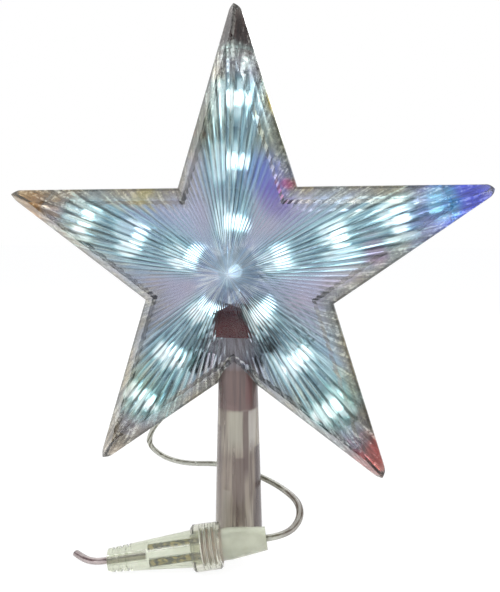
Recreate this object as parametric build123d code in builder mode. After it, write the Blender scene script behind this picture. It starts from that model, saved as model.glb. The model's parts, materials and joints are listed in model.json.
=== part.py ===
from build123d import *
import os
from math import atan2, cos, degrees, hypot, pi, radians, sin, tan

# A lit five-pointed star for the top of a Christmas tree: two ribbed clear shells round a
# string of lamps, a clear stem whose bore slips over the tree's leader, and a short lead
# with a screw connector. Millimetres, +Z up, the star faces -Y, +X is the viewer's right.
# The origin is the middle of the stem's mouth.

os.makedirs("parts", exist_ok=True)

# Star shells
arm_count = 5
star_rise = 29.0  # top of the stem to the middle of the star
star_radius = 121.0  # middle to the sharp corner of an arm, before its tip is rounded
tip_round = 3.0
rim_land = 2.0  # straight edge of each half, beside the joint
shoulder_depth = 11.5  # joint to the top of the sloped border
border_width = 6.0  # sloped border, seen from the front
apex_depth = 22.0  # joint to the middle of the ribbed front
shell_wall = 1.8
tip_block = 26.0  # solid end of each arm, along its axis
tongue_height = 1.5  # lip of the front half, which centres it in the rear half
joint_gap = 0.1
overrun = 2.0  # how far every cut runs past what it cuts

# Radiating ribs on both shells
ribs_per_arm = 24
groove_width_share = 0.9  # of the rib pitch
groove_slope = 0.35  # depth for each unit of half width
groove_start = 4.0  # middle to where the grooves begin
groove_lift_share = 0.5  # how far each cutter stands above the surface, of its depth

# Stem
foot_radius = 11.6
neck_radius = 8.6  # outside of the stem at its top
stem_length = 103.0
socket_radius = 8.3  # bore that slips over the leader of the tree
socket_depth = 68.0
stop_thickness = 2.0
upper_bore = 7.0
foot_chamfer = 0.6
stem_gap = 0.15  # between the stem and the hole in the shells
ear_reach = 15.5  # middle of the stem to the end of each fixing ear
ear_height = 7.0
ear_thickness = 2.5
ear_drop = 3.5  # top of the stem to the top of the ears
ear_hole_reach = 11.9

# Plug that closes the stem
plug_drop = 16.5  # middle of the star to the top of the plug
plug_clear = 0.2  # top corners of the plug to the lamps beside it
head_gap = 0.7  # sloped front of the plug to the inside of the front shell
plug_chamfer = 1.0
spigot_length = 7.0
fit_gap = 0.05

# Screws through the ears
screw_radius = 1.1
screw_length = 8.0
screw_head_radius = 2.2
screw_head_height = 1.5
screw_slot_width = 0.6
screw_slot_depth = 0.7
boss_radius = 2.8
screw_gap = 0.05

# Lamps and what carries them
lamps_per_arm = 3
hub_clear = 0.7  # edge of the board to the base of the first lamp
last_lamp_inset = 12.0  # end of the carrier's arm to the middle of the last lamp
lens_radius = 2.5
lens_length = 8.6
lens_flange_radius = 2.9
lens_flange = 1.0
base_radius = 3.0
base_length = 8.0
leg_radius = 0.25
leg_spread = 1.2
leg_sunk = 2.0  # length of each leg inside its lamp base
leg_gap = 0.05
lamp_gap = 0.05
hub_radius = 10.0
spoke_width = 7.0
arm_clear = 2.8  # end corners of the carrier's arm to the wall of the hollow
carrier_thickness = 2.0
cradle_length = 5.0
cradle_height = 2.6
stem_clear = 0.6  # between the carrier and the stem's plug
post_inset = 3.5  # end of the carrier's arm to its post
post_radius = 2.2
post_pin_radius = 1.2
board_radius = 9.0
board_thickness = 1.2
resistor_radius = 1.2
resistor_length = 6.5
resistor_round = 0.5
resistor_place = 5.5  # middle of the board to the resistor

# Lead entry
grommet_x_share = -0.2132  # of the star's radius
grommet_drop_share = 0.3802  # of the star's radius, below the middle of the star
entry_radius = 3.6  # hole in the rear shell
entry_boss_radius = 6.2
entry_back = 17.0  # joint to the flat outer face of the boss
entry_front = 10.0  # joint to the flat inner face of the boss
grommet_flange_radius = 4.9
grommet_flange = 1.6
nose_length = 9.0
nose_root_radius = 4.0
nose_tip_radius = 2.6
nose_lead_out = 8.0  # straight stretch of cord behind the nose

# Inner wires
wire_radius = 0.6
core_radius = 0.65
core_spread = 1.5  # middle of the route to each core
core_lead_out = 3.4  # straight stretch of the cores in front of the grommet
core_end_x = 5.5  # where the cores meet the board
core_end_drop = 2.5  # below the middle of the star
sleeve_radius = 1.2
sleeve_length = 7.0
sleeve_gap = 0.05

# Cords
cord_radius = 1.7
bend_share = 0.45  # of the shorter run beside each corner of a route

# Connector, measured along its axis from the face where its halves meet
connector_x = -11.0
connector_y = -25.9
connector_heading = 12.0  # degrees from the X axis, seen from above
thread_pitch = 2.5
thread_core = 6.9
thread_crest = 7.75
thread_root_share = 0.8  # of the pitch, width of a thread at its root
thread_crest_share = 0.25  # of the pitch, width of a thread at its crest
thread_gap = 0.2
thread_sunk = 0.3  # how far the thread's root lies inside its core
thread_length = 9.0
plug_body_radius = 6.75
plug_body_length = 4.0
plug_tail_length = 15.5
plug_tail_radius = 4.9
plug_lead_out = 9.0  # straight stretch of cord where it leaves the plug
face_gap = 0.1  # between the two halves
pin_radius = 0.8
pin_spread = 2.6  # axis of the connector to each pin
pin_reach = 8.0  # how far a pin stands in the other half
pin_root = 14.0
pin_gap = 0.04
contact_wall = 0.55
contact_front = 1.0
contact_end = 24.0
contact_gap = 0.05
seal_inner = 4.4
seal_outer = 5.9
seal_thickness = 1.2
seal_gap = 0.05
nose_flange_radius = 6.75  # flange of the loose half that the collar pulls on
nose_flange_end = 3.0
neck_end = 4.8
connector_neck = 5.8
tail_root_radius = 7.85
tail_end = 42.0
tail_radius = 4.9
relief_count = 3
relief_pitch = 3.0
relief_width = 1.4
relief_depth = 0.5
relief_margin = 2.2  # last relief groove to the end of the tail
tail_bore_start = 25.0
collar_radius = 9.9
collar_front = 8.2  # how far the collar covers the fixed half
collar_play = 0.3
collar_chamfer = 0.8
collar_bore_gap = 0.3

# Routes, as points chosen by hand
lead_route_inner = [
    (-27.0, 43.6, 82.5),
    (-30.2, 48.2, 75.8),
    (-35.5, 49.0, 65.5),
    (-43.5, 47.5, 54.5),
    (-53.0, 46.5, 44.0),
    (-61.0, 47.5, 34.5),
    (-64.5, 50.0, 24.5),
    (-57.0, 52.0, 17.0),
    (-46.5, 47.5, 16.3),
    (-34.5, 39.0, 19.5),
    (-18.0, 29.5, 25.0),
    (-3.5, 21.5, 27.0),
    (10.0, 14.0, 26.2),
    (20.8, 6.2, 25.2),
    (29.6, -2.2, 23.0),
    (31.0, -10.9, 19.0),
]
tail_route_outer = [
    (-56.6, -35.6, 4.3),
    (-61.6, -34.4, 3.4),
    (-66.6, -31.4, 2.6),
    (-71.2, -27.9, 2.0),
]
core_route_inner = [  # heights from the middle of the star
    (-24.1, 3.0, -43.9),
    (-20.9, 3.8, -39.4),
    (-17.6, 6.8, -33.0),
    (-12.0, 9.6, -29.4),
    (-4.5, 10.4, -28.4),
    (4.5, 10.4, -28.8),
    (13.5, 9.7, -30.8),
    (28.0, 8.7, -37.8),
    (33.2, 8.4, -33.4),
    (31.0, 8.2, -26.0),
    (23.0, 7.8, -16.5),
    (14.0, 7.5, -8.5),
]
sleeve_run_count = 8  # runs of the route before the one with the sleeve

# Planes and shares of the star
star_height = stem_length + star_rise
star_front = Plane(origin=(0, 0, star_height), x_dir=(1, 0, 0), z_dir=(0, -1, 0))
star_rear = Plane(origin=(0, 0, star_height), x_dir=(-1, 0, 0), z_dir=(0, 1, 0))
half_tip = radians(90 / arm_count)
half_arm = radians(180 / arm_count)
notch_share = sin(half_tip) / sin(half_tip + half_arm)
up_angle = 90


def inset(radius, width):
    """Radius of the star whose edges lie the given width inside those of a larger star."""
    return radius - width / sin(half_tip)


brow_radius = inset(star_radius, border_width)


def star_points(radius):
    """Corners of a star outline, tips and notches in turn, the first tip upwards."""
    corners = []
    for k in range(2 * arm_count):
        reach = radius * notch_share if k % 2 else radius
        angle = radians(up_angle) + half_arm * k
        corners.append((reach * cos(angle), reach * sin(angle)))
    return corners


def star_face(height, radius):
    """Flat star at a height above the joint."""
    with BuildSketch(Plane.XY.offset(height)) as outline:
        with BuildLine():
            Polyline(*star_points(radius), close=True)
        make_face()
    return outline.sketch


def star_block(radius, shoulder, apex):
    """Solid half star: a straight edge, a sloped border and facets that meet at a point."""
    joint = star_face(0, radius)
    edge = star_face(rim_land, radius)
    brow = star_face(shoulder, inset(radius, border_width))
    with BuildPart() as block:
        loft([joint, edge], ruled=True)
        loft([edge, brow], ruled=True)
        loft([brow, Vertex(0, 0, apex)], ruled=True)
    return block.part


def facet_reach(off):
    """Distance from the middle to the border, at an angle off the nearest arm's axis."""
    return brow_radius * sin(half_tip) / sin(half_tip + abs(off))


def facet_depth(x, y):
    """Depth of the ribbed front below a point of the star plane, measured from the joint."""
    turn = (atan2(y, x) - radians(up_angle)) % (2 * half_arm)
    off = min(turn, 2 * half_arm - turn)
    return apex_depth - (apex_depth - shoulder_depth) * hypot(x, y) / facet_reach(off)


def hollow_depth(drop):
    """Depth of the hollow inside a shell at a drop straight below the middle of the star."""
    notch_reach = inset(star_radius, shell_wall + border_width) * notch_share
    return apex_depth - shell_wall - (apex_depth - shoulder_depth) * drop / notch_reach


def rib_grooves():
    """V grooves of the upper arm, which fan out from the apex and run over the border."""
    pitch = 2 * half_arm / ribs_per_arm
    apex = Vector(0, 0, apex_depth)
    tip = Vector(0, brow_radius, shoulder_depth)
    with BuildPart() as fan:
        for k in range(ribs_per_arm):
            off = pitch * (k + 1 / 2) - half_arm
            side = half_arm if off > 0 else -half_arm
            notch_reach = brow_radius * notch_share
            notch = Vector(-notch_reach * sin(side), notch_reach * cos(side), shoulder_depth)
            normal = (tip - apex).cross(notch - apex).normalized()
            if normal.Z < 0:
                normal = normal * -1
            reach = facet_reach(off)
            edge = Vector(-reach * sin(off), reach * cos(off), shoulder_depth)
            along = (edge - apex).normalized()
            end = edge + along * overrun
            half_width = (end - apex).length * tan(pitch / 2) * groove_width_share
            depth = half_width * groove_slope
            wide = half_width * (1 + groove_lift_share)
            with BuildSketch(Plane(end, x_dir=normal.cross(along), z_dir=along)) as section:
                with BuildLine():
                    Polyline(
                        (-wide, depth * groove_lift_share),
                        (wide, depth * groove_lift_share),
                        (0, -depth),
                        close=True,
                    )
                make_face()
            start = apex + along * groove_start
            loft([section.sketch, Vertex(start.X, start.Y, start.Z)], ruled=True)
    return fan.part


def stem_radius(height):
    """Outside of the tapered stem at a height above its foot."""
    return foot_radius - (foot_radius - neck_radius) * height / stem_length


def turned(plane, outline):
    """Section of a turned piece, as points (along, radius) from the plane's origin."""
    with BuildSketch(plane) as section:
        with BuildLine():
            Polyline(*outline, close=True)
        make_face()
    return section.sketch


def route_radii(points):
    """Bend radius at each inner corner of a route, as large as its two runs allow."""
    radii = []
    corners = [Vector(*point) for point in points]
    for before, corner, after in zip(corners, corners[1:], corners[2:]):
        run_in = corner - before
        run_out = after - corner
        turn = radians(run_in.get_angle(run_out))
        radii.append(bend_share * min(run_in.length, run_out.length) / tan(turn / 2))
    return radii


def cord_path(points):
    """Straight runs joined by tangent arcs."""
    with BuildLine() as path:
        FilletPolyline(*points, radius=route_radii(points))
    return path.wires()[0]


def beside(points, gap):
    """Route at a side gap from another one, seen from the front; both leave along Y."""
    corners = [Vector(*point) for point in points]
    runs = [after - before for before, after in zip(corners[1:], corners[2:])]
    sides = [Vector(-run.Z, 0, run.X).normalized() for run in runs]
    mitres = [(one + two) / (1 + one.dot(two)) for one, two in zip(sides, sides[1:])]
    steps = [sides[0], sides[0], *mitres, sides[-1]]
    return [corner + step * gap for corner, step in zip(corners, steps)]


def laid_cord(points, radius):
    """Round cord along a route."""
    path = cord_path(points)
    with BuildPart() as cord:
        with BuildSketch(Plane(path @ 0, z_dir=path % 0)) as section:
            Circle(radius)
        sweep(section.sketch, path=path)
    return cord.part


# Sizes and planes that follow from the values above
on_base = (Align.CENTER, Align.CENTER, Align.MIN)
under_face = (Align.CENTER, Align.CENTER, Align.MAX)
along_arm = (0, 90, 0)
tongue_inset = shell_wall / 2
carrier_seat = base_radius + lamp_gap
carrier_back = carrier_seat + carrier_thickness
board_back = carrier_back + board_thickness
carrier_inset = border_width * (carrier_back - rim_land) / (shoulder_depth - shell_wall - rim_land)
arm_space = inset(star_radius, shell_wall + carrier_inset)
spoke_end = arm_space - (spoke_width / 2 + arm_clear) / tan(half_tip)
post_reach = spoke_end - post_inset
first_lamp = board_radius + hub_clear + base_length + lens_length / 2
last_lamp = spoke_end - last_lamp_inset
lamp_step = (last_lamp - first_lamp) / (lamps_per_arm - 1)
lamp_reaches = [first_lamp + k * lamp_step for k in range(lamps_per_arm)]
base_middle = -lens_length / 2 - base_length / 2
centre_base_front = carrier_back - base_length
leg_top = base_radius - leg_sunk
ear_middle = stem_length - ear_drop - ear_height / 2 - star_height
boss_top = facet_depth(ear_hole_reach, ear_middle) - shell_wall / 2
post_top = facet_depth(0, post_reach) - shell_wall / 2
plug_top = star_height - plug_drop
plug_half_width = plug_drop * tan(half_arm) - (lens_flange_radius + plug_clear) / cos(half_arm)
cavity_reach = star_radius - tip_block
contact_radius = pin_radius + contact_gap + contact_wall
plug_tail_start = thread_length + plug_body_length
plug_end = plug_tail_start + plug_tail_length
collar_back = neck_end - collar_play
lip_front = nose_flange_end + collar_play
heading = radians(connector_heading)
collar_brow = collar_back - collar_chamfer
tilt = atan2(collar_radius - tail_radius, tail_end - collar_brow)
connector_height = collar_radius * cos(tilt) + collar_brow * sin(tilt)
connector = Plane(
    origin=(connector_x, connector_y, connector_height),
    x_dir=(sin(heading), -cos(heading), 0),
    z_dir=(-cos(heading) * cos(tilt), -sin(heading) * cos(tilt), -sin(tilt)),
)
connector_section = Plane(connector.origin, x_dir=connector.z_dir, z_dir=connector.x_dir)
connector_axis = Axis(connector.origin, connector.z_dir)
thread_start = -collar_front
ridge_turns = (collar_front - thread_pitch / 2) / thread_pitch
groove_turns = ridge_turns + 2
nose_end = entry_back + grommet_flange + nose_length
grommet_x = star_radius * grommet_x_share
grommet_drop = star_radius * grommet_drop_share
entry_height = star_height - grommet_drop
core_exit = entry_front - grommet_flange
lead_route = [
    (grommet_x, nose_end, entry_height),
    (grommet_x, nose_end + nose_lead_out, entry_height),
    *lead_route_inner,
    tuple(connector.from_local_coords(Vector(0, 0, -plug_end - plug_lead_out))),
    tuple(connector.from_local_coords(Vector(0, 0, -plug_end))),
]
tail_route = [
    tuple(connector.from_local_coords(Vector(0, 0, tail_end))),
    *tail_route_outer,
]
core_route = [
    (grommet_x, core_exit, entry_height),
    (grommet_x, core_exit - core_lead_out, entry_height),
    *[(x, y, star_height + rise) for x, y, rise in core_route_inner],
    (core_end_x, board_back + core_radius, star_height - core_end_drop),
]


def thread(start, turns, crest, root_width, crest_width):
    """Helical ridge round the connector's core, from a start along its axis."""
    rise = crest - thread_core
    with BuildLine():
        path = Helix(thread_pitch, turns * thread_pitch, thread_core, center=(0, 0, start))
    with BuildPart() as ridge:
        with BuildSketch(Plane(path @ 0, x_dir=(1, 0, 0), z_dir=path % 0)) as section:
            with BuildLine():
                Polyline(
                    (-thread_sunk, -root_width / 2),
                    (0, -root_width / 2),
                    (rise, -crest_width / 2),
                    (rise, crest_width / 2),
                    (0, root_width / 2),
                    (-thread_sunk, root_width / 2),
                    close=True,
                )
            make_face()
        sweep(section.sketch, path=path.edge(), is_frenet=True)
    return ridge.part


def lamp_parts(shape):
    """Places one shape at each lamp of the arms, its own X axis pointing along the arm."""
    for reach in lamp_reaches:
        with PolarLocations(reach, arm_count, start_angle=up_angle):
            add(shape)


# Cutters and outlines that both shells share
with BuildPart() as hollow:
    add(
        star_block(
            inset(star_radius, shell_wall),
            shoulder_depth - shell_wall,
            apex_depth - shell_wall,
        )
    )
    with BuildSketch():
        RegularPolygon(
            cavity_reach, arm_count, major_radius=False, rotation=degrees(half_arm) + up_angle
        )
    extrude(amount=apex_depth, mode=Mode.INTERSECT)

with BuildSketch() as rim_outline:
    with BuildLine():
        Polyline(*star_points(star_radius), close=True)
    make_face()
    fillet(rim_outline.vertices().sort_by_distance((0, 0))[-arm_count:], radius=tip_round)

with BuildSketch() as cavity_outline:
    add(hollow.faces().sort_by(Axis.Z)[0])

with BuildPart() as stem_space:
    with BuildSketch(Plane.XZ):
        with BuildLine():
            Polyline(
                (0, 0),
                (foot_radius + stem_gap, 0),
                (neck_radius + stem_gap, stem_length),
                (0, stem_length),
                close=True,
            )
        make_face()
    revolve(axis=Axis.Z)

# Ribbed half that both shells start from
with BuildPart() as half_star:
    add(star_block(star_radius, shoulder_depth, apex_depth))
    with BuildSketch():
        add(rim_outline.sketch)
    extrude(amount=apex_depth, mode=Mode.INTERSECT)
    add(hollow.part, mode=Mode.SUBTRACT)
    grooves = rib_grooves()
    with PolarLocations(0, arm_count):
        add(grooves, mode=Mode.SUBTRACT)

# Front half of the star, with the lip that centres it
with BuildPart(star_front) as front_shell:
    add(half_star.part)
    with BuildSketch(star_front):
        offset(rim_outline.sketch, amount=-tongue_inset - joint_gap, kind=Kind.INTERSECTION)
        add(cavity_outline.sketch, mode=Mode.SUBTRACT)
    extrude(amount=-tongue_height)
    add(star_front.to_local_coords(stem_space.part), mode=Mode.SUBTRACT)
front_shell.part.label = "front_shell"
export_step(front_shell.part, "parts/front_shell.step")

# Rear half, with the lead's entry, the screw bosses and the posts that hold the lamps
with BuildPart(star_rear) as rear_shell:
    add(half_star.part)
    with BuildSketch(star_rear):
        offset(rim_outline.sketch, amount=-tongue_inset, kind=Kind.INTERSECTION)
    extrude(amount=tongue_height + joint_gap, mode=Mode.SUBTRACT)
    with PolarLocations(post_reach, arm_count, start_angle=up_angle):
        with Locations((0, 0, carrier_back)):
            Cylinder(post_radius, post_top - carrier_back, align=on_base)
        with Locations((0, 0, carrier_seat)):
            Cylinder(post_pin_radius, carrier_thickness, align=on_base)
    with Locations(*[(x, ear_middle, ear_thickness) for x in (-ear_hole_reach, ear_hole_reach)]):
        Cylinder(boss_radius, boss_top - ear_thickness, align=on_base)
        Cylinder(
            screw_radius + screw_gap,
            screw_length - ear_thickness + screw_gap,
            align=on_base,
            mode=Mode.SUBTRACT,
        )
    with Locations((-grommet_x, -grommet_drop, entry_front)):
        Cylinder(entry_boss_radius, entry_back - entry_front, align=on_base)
        Cylinder(entry_radius, entry_back - entry_front, align=on_base, mode=Mode.SUBTRACT)
    add(star_rear.to_local_coords(stem_space.part), mode=Mode.SUBTRACT)
rear_shell.part.label = "rear_shell"
export_step(rear_shell.part, "parts/rear_shell.step")

# Five-armed frame that cradles the lamps
with BuildPart(star_rear) as lamp_carrier:
    with BuildSketch(star_rear.offset(carrier_seat)):
        Circle(hub_radius)
        with PolarLocations(spoke_end / 2, arm_count, start_angle=up_angle):
            Rectangle(spoke_end, spoke_width)
        with PolarLocations(post_reach, arm_count, start_angle=up_angle):
            Circle(post_pin_radius + fit_gap, mode=Mode.SUBTRACT)
        Circle(base_radius + lamp_gap, mode=Mode.SUBTRACT)
    extrude(amount=carrier_thickness)
    for reach in lamp_reaches:
        with PolarLocations(reach + base_middle, arm_count, start_angle=up_angle):
            with Locations((0, 0, carrier_seat)):
                Box(cradle_length, spoke_width, cradle_height, align=under_face)
    for reach in lamp_reaches:
        with PolarLocations(reach + base_middle, arm_count, start_angle=up_angle):
            Cylinder(
                base_radius + lamp_gap, base_length, rotation=along_arm, mode=Mode.SUBTRACT
            )
            with Locations((0, -leg_spread, 0), (0, leg_spread, 0)):
                Cylinder(
                    leg_radius + leg_gap, carrier_back, align=on_base, mode=Mode.SUBTRACT
                )
    with Locations((0, plug_top + stem_clear - star_height, 0)):
        Box(
            2 * (plug_half_width + stem_clear),
            star_radius,
            2 * apex_depth,
            align=(Align.CENTER, Align.MAX, Align.CENTER),
            mode=Mode.SUBTRACT,
        )
lamp_carrier.part.label = "lamp_carrier"
export_step(lamp_carrier.part, "parts/lamp_carrier.step")

# Lamp lenses: a flange, a round body and a domed end
with BuildPart() as lens:
    with BuildSketch(Plane.XY):
        with BuildLine():
            Polyline(
                (lens_length / 2 - lens_radius, lens_radius),
                (lens_flange - lens_length / 2, lens_radius),
                (lens_flange - lens_length / 2, lens_flange_radius),
                (-lens_length / 2, lens_flange_radius),
                (-lens_length / 2, 0),
                (lens_length / 2, 0),
            )
            CenterArc((lens_length / 2 - lens_radius, 0), lens_radius, 0, 90)
        make_face()
    revolve(axis=Axis.X)

with BuildPart(star_rear) as lamp_lenses:
    lamp_parts(lens.part)
    with Locations((0, 0, centre_base_front - lens_length / 2)):
        add(lens.part, rotation=(0, 90, 0))
lamp_lenses.part.label = "lamp_lenses"
export_step(lamp_lenses.part, "parts/lamp_lenses.step")

# Lamp bases, bored for the legs
with BuildPart() as base:
    with Locations((base_middle, 0, 0)):
        Cylinder(base_radius, base_length, rotation=along_arm)
        with Locations((0, -leg_spread, leg_top), (0, leg_spread, leg_top)):
            Cylinder(leg_radius + leg_gap, base_radius, align=on_base, mode=Mode.SUBTRACT)

with BuildPart(star_rear) as lamp_bases:
    lamp_parts(base.part)
    with Locations((0, 0, centre_base_front)):
        Cylinder(base_radius, base_length, align=on_base)
    with Locations(*[(x, 0, carrier_back - leg_sunk) for x in (-leg_spread, leg_spread)]):
        Cylinder(leg_radius + leg_gap, leg_sunk, align=on_base, mode=Mode.SUBTRACT)
lamp_bases.part.label = "lamp_bases"
export_step(lamp_bases.part, "parts/lamp_bases.step")

# Lamp legs, from each base to the wires behind the carrier
with BuildPart() as legs:
    with Locations(*[(base_middle, y, leg_top) for y in (-leg_spread, leg_spread)]):
        Cylinder(leg_radius, carrier_back - leg_top, align=on_base)

with BuildPart(star_rear) as lamp_legs:
    lamp_parts(legs.part)
    with Locations(*[(x, 0, carrier_back - leg_sunk) for x in (-leg_spread, leg_spread)]):
        Cylinder(leg_radius, leg_sunk + board_thickness, align=on_base)
lamp_legs.part.label = "lamp_legs"
export_step(lamp_legs.part, "parts/lamp_legs.step")

# Round board behind the hub, where the wires of the arms meet
with BuildPart(star_rear) as hub_board:
    with BuildSketch(star_rear.offset(carrier_back)):
        Circle(board_radius)
        with Locations((-leg_spread, 0), (leg_spread, 0)):
            Circle(leg_radius + leg_gap, mode=Mode.SUBTRACT)
    extrude(amount=board_thickness)
hub_board.part.label = "hub_board"
export_step(hub_board.part, "parts/hub_board.step")

# Resistor on the back of the board
with BuildPart(star_rear) as series_resistor:
    with Locations((0, resistor_place, board_back + resistor_radius)):
        Cylinder(resistor_radius, resistor_length, rotation=along_arm)
    fillet(series_resistor.edges().filter_by(GeomType.CIRCLE), radius=resistor_round)
series_resistor.part.label = "series_resistor"
export_step(series_resistor.part, "parts/series_resistor.step")

# Pair of wires along the back of each arm of the carrier
with BuildPart(star_rear) as string_wires:
    with PolarLocations(board_radius, arm_count, start_angle=up_angle):
        with Locations(*[(0, y, carrier_back + wire_radius) for y in (-leg_spread, leg_spread)]):
            Cylinder(
                wire_radius,
                lamp_reaches[-1] - lens_length / 2 - board_radius,
                rotation=along_arm,
                align=on_base,
            )
string_wires.part.label = "string_wires"
export_step(string_wires.part, "parts/string_wires.step")

# Stem: tapered outside, straight bore from the foot up to a stop, two fixing ears
with BuildPart() as stem_tube:
    with BuildSketch(Plane.XZ):
        with BuildLine():
            Polyline(
                (0, 0),
                (stem_radius(foot_chamfer) - foot_chamfer, 0),
                (stem_radius(foot_chamfer), foot_chamfer),
                (neck_radius, stem_length),
                (0, stem_length),
                close=True,
            )
        make_face()
    revolve(axis=Axis.Z)
    with BuildSketch(Plane.XZ):
        with Locations((0, ear_middle + star_height)):
            SlotOverall(2 * ear_reach, ear_height)
            with Locations((-ear_hole_reach, 0), (ear_hole_reach, 0)):
                Circle(screw_radius + fit_gap, mode=Mode.SUBTRACT)
    extrude(amount=-ear_thickness)
    Cylinder(socket_radius, socket_depth, align=on_base, mode=Mode.SUBTRACT)
    with Locations((0, 0, socket_depth + stop_thickness)):
        Cylinder(
            upper_bore,
            stem_length - socket_depth - stop_thickness,
            align=on_base,
            mode=Mode.SUBTRACT,
        )
stem_tube.part.label = "stem_tube"
export_step(stem_tube.part, "parts/stem_tube.step")

# Dark plug that closes the top of the stem: a block whose sloped front follows the shell
with BuildPart() as stem_plug:
    with BuildSketch(Plane.YZ):
        with BuildLine():
            Polyline(
                (neck_radius, stem_length),
                (neck_radius, plug_top),
                (head_gap - hollow_depth(plug_drop), plug_top),
                (head_gap - hollow_depth(star_rise), stem_length),
                close=True,
            )
        make_face()
    extrude(amount=plug_half_width, both=True)
    chamfer(stem_plug.edges().group_by(Axis.Z)[-1], length=plug_chamfer)
    with Locations((0, 0, stem_length - spigot_length)):
        Cylinder(upper_bore - fit_gap, spigot_length, align=on_base)
stem_plug.part.label = "stem_plug"
export_step(stem_plug.part, "parts/stem_plug.step")

# Slotted screws through the ears into the rear shell
with BuildPart(star_rear) as stem_screws:
    with Locations(*[(x, ear_middle, 0) for x in (-ear_hole_reach, ear_hole_reach)]):
        Cylinder(screw_radius, screw_length, align=on_base)
        Cylinder(screw_head_radius, screw_head_height, align=under_face)
        with Locations((0, 0, -screw_head_height)):
            Box(
                2 * screw_head_radius,
                screw_slot_width,
                screw_slot_depth,
                align=on_base,
                mode=Mode.SUBTRACT,
            )
stem_screws.part.label = "stem_screws"
export_step(stem_screws.part, "parts/stem_screws.step")

# Grommet moulded on the lead, clipped in the rear shell, with a tapered nose
entry_plane = Plane(origin=(grommet_x, 0, entry_height), x_dir=(0, 1, 0), z_dir=(1, 0, 0))
nose_start = entry_back + grommet_flange
with BuildPart() as cord_grommet:
    revolve(
        turned(
            entry_plane,
            [
                (entry_front - grommet_flange, 0),
                (entry_front - grommet_flange, grommet_flange_radius),
                (entry_front, grommet_flange_radius),
                (entry_front, entry_radius - fit_gap),
                (entry_back, entry_radius - fit_gap),
                (entry_back, grommet_flange_radius),
                (nose_start, grommet_flange_radius),
                (nose_start, nose_root_radius),
                (nose_end, nose_tip_radius),
                (nose_end, 0),
            ],
        ),
        axis=Axis(entry_plane.origin, entry_plane.x_dir),
    )
cord_grommet.part.label = "cord_grommet"
export_step(cord_grommet.part, "parts/cord_grommet.step")

# Two cores of the lead, behind the stem to the board, each with a black sleeve on its splice
core_routes = [beside(core_route, gap) for gap in (-core_spread, core_spread)]
with BuildPart() as core_wires:
    for route in core_routes:
        add(laid_cord(route, core_radius))
core_wires.part.label = "core_wires"
export_step(core_wires.part, "parts/core_wires.step")

with BuildPart() as splice_sleeves:
    for route in core_routes:
        start, end = route[sleeve_run_count], route[sleeve_run_count + 1]
        middle = Plane((start + end) / 2, z_dir=end - start)
        with BuildSketch(middle):
            Circle(sleeve_radius)
            Circle(core_radius + sleeve_gap, mode=Mode.SUBTRACT)
        extrude(amount=sleeve_length / 2, both=True)
splice_sleeves.part.label = "splice_sleeves"
export_step(splice_sleeves.part, "parts/splice_sleeves.step")

# Lead from the star to the connector
with BuildPart() as star_lead:
    add(laid_cord(lead_route, cord_radius))
star_lead.part.label = "star_lead"
export_step(star_lead.part, "parts/star_lead.step")

# Half of the connector on the star's lead: a threaded nose, a body and a tapered tail
with BuildPart(connector) as plug_body:
    revolve(
        turned(
            connector_section,
            [
                (0, 0),
                (0, thread_core),
                (-thread_length, thread_core),
                (-thread_length, plug_body_radius),
                (-plug_tail_start, plug_body_radius),
                (-plug_end, plug_tail_radius),
                (-plug_end, 0),
            ],
        ),
        axis=connector_axis,
    )
    add(
        thread(
            thread_start,
            ridge_turns,
            thread_crest,
            thread_root_share * thread_pitch,
            thread_crest_share * thread_pitch,
        )
    )
    with BuildSketch(connector):
        Circle(seal_outer + seal_gap)
        Circle(seal_inner - seal_gap, mode=Mode.SUBTRACT)
    extrude(amount=-seal_thickness, mode=Mode.SUBTRACT)
    with Locations((0, -pin_spread, 0), (0, pin_spread, 0)):
        Cylinder(pin_radius + pin_gap, pin_root, align=under_face, mode=Mode.SUBTRACT)
plug_body.part.label = "plug_body"
export_step(plug_body.part, "parts/plug_body.step")

# Two contact pins
with BuildPart(connector) as plug_pins:
    with Locations((0, -pin_spread, -pin_root), (0, pin_spread, -pin_root)):
        Cylinder(pin_radius, pin_root + pin_reach, align=on_base)
    pin_ends = plug_pins.edges().filter_by(GeomType.CIRCLE).group_by(connector_axis)[-1]
    chamfer(pin_ends, length=pin_radius / 2)
plug_pins.part.label = "plug_pins"
export_step(plug_pins.part, "parts/plug_pins.step")

# Flat rubber ring between the faces
with BuildPart(connector) as seal_ring:
    with BuildSketch(connector):
        Circle(seal_outer)
        Circle(seal_inner, mode=Mode.SUBTRACT)
    extrude(amount=-seal_thickness)
seal_ring.part.label = "seal_ring"
export_step(seal_ring.part, "parts/seal_ring.step")

# Loose half: a flange and neck for the collar, then a tapered body with relief grooves
with BuildPart(connector) as socket_body:
    revolve(
        turned(
            connector_section,
            [
                (face_gap, 0),
                (face_gap, nose_flange_radius),
                (nose_flange_end, nose_flange_radius),
                (nose_flange_end, connector_neck),
                (neck_end, connector_neck),
                (neck_end, tail_root_radius),
                (tail_end, tail_radius),
                (tail_end, 0),
            ],
        ),
        axis=connector_axis,
    )
    for k in range(relief_count):
        end = tail_end - relief_margin - k * relief_pitch
        with BuildSketch(connector.offset(end - relief_width)):
            Circle(tail_root_radius)
            Circle(tail_radius - relief_depth, mode=Mode.SUBTRACT)
        extrude(amount=relief_width, mode=Mode.SUBTRACT)
    with Locations((0, -pin_spread, 0), (0, pin_spread, 0)):
        Cylinder(pin_radius + contact_gap, contact_front, align=on_base, mode=Mode.SUBTRACT)
        with Locations((0, 0, contact_front)):
            Cylinder(
                contact_radius + contact_gap,
                contact_end - contact_front,
                align=on_base,
                mode=Mode.SUBTRACT,
            )
    with Locations((0, 0, tail_bore_start)):
        Cylinder(
            cord_radius + fit_gap, tail_end - tail_bore_start, align=on_base, mode=Mode.SUBTRACT
        )
socket_body.part.label = "socket_body"
export_step(socket_body.part, "parts/socket_body.step")

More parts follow.
